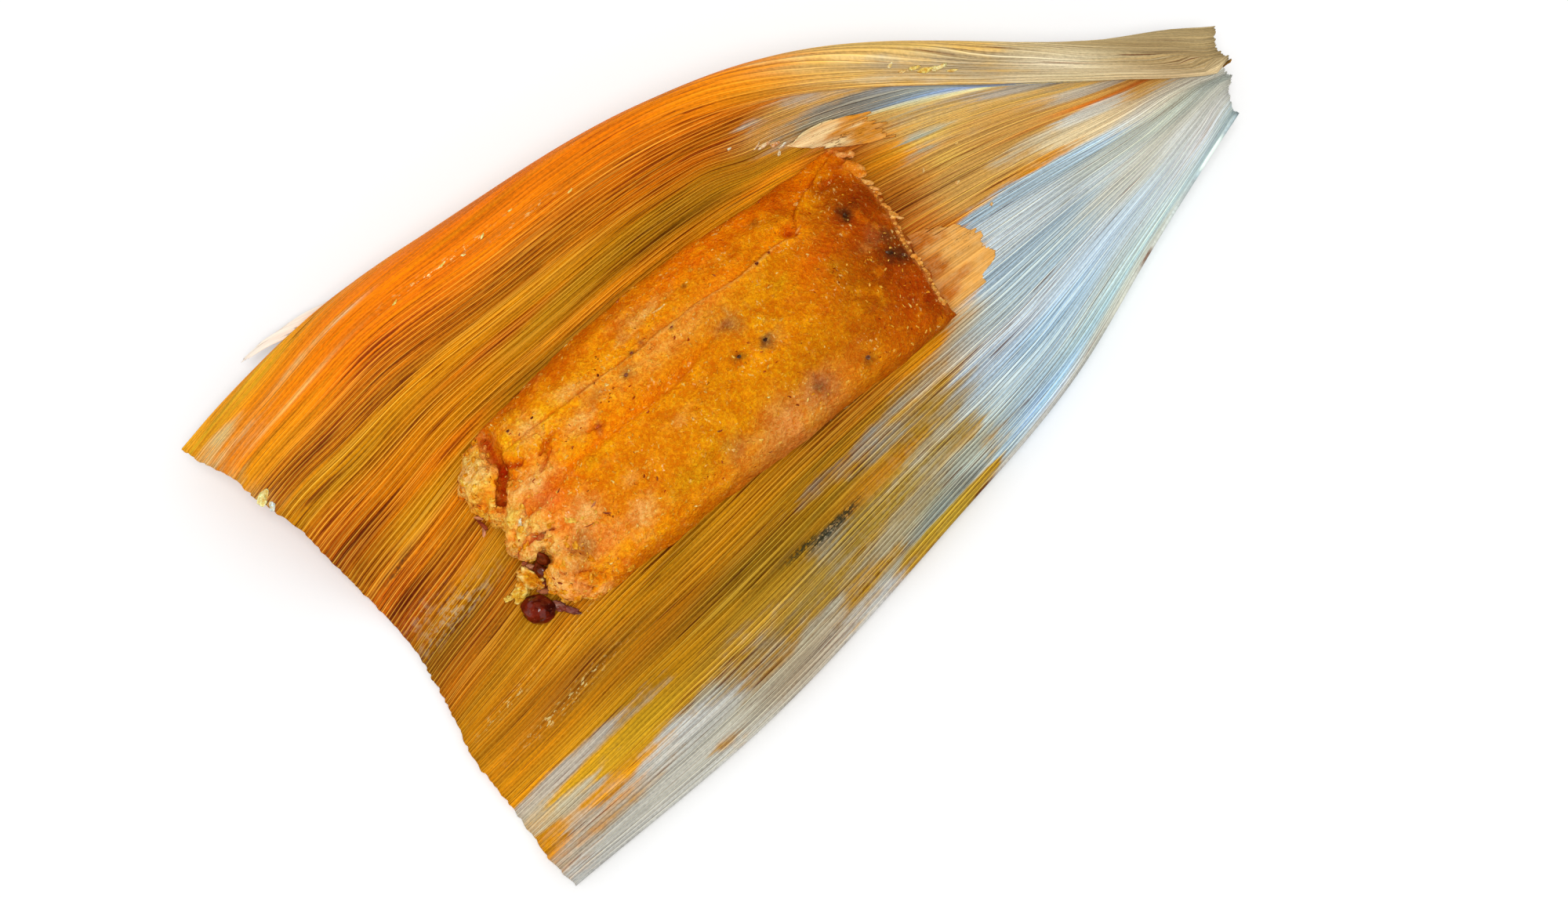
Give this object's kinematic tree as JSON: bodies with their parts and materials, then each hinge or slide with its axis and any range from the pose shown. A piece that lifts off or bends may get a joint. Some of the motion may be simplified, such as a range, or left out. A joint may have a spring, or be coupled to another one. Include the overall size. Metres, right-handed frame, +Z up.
{
  "type": "unwrapped tamale on its corn husk",
  "caption": "Broken-ended slab of steamed corn dough with beans, lying on its opened corn husk, one side of which rolls up into a crest.",
  "frame": {"origin": "centre of the bounding box in plan, on the surface that the husk lies on", "axes": "+X along the husk from its cut end to its gathered tip, +Y to the side that rolls up into a crest, +Z up"},
  "size_m": [0.2368, 0.1362, 0.028],
  "materials": {
    "husk": "dry ribbed corn husk, satin, stained orange by the dough, pale blue-grey and cream towards its tip",
    "masa": "moist grainy orange corn dough with small glints, rough and paler where it is broken",
    "bean": "glossy dark red-brown bean skin",
    "bean_shred": "dull dark purple bean skin",
    "crumb": "moist crumbly yellow-orange dough"
  },
  "bodies": {
    "root": {"husk": "husk", "masa": "masa", "bean": "bean", "bean_shred": "bean_shred", "crumb": "crumb"}
  },
  "joints": []
}
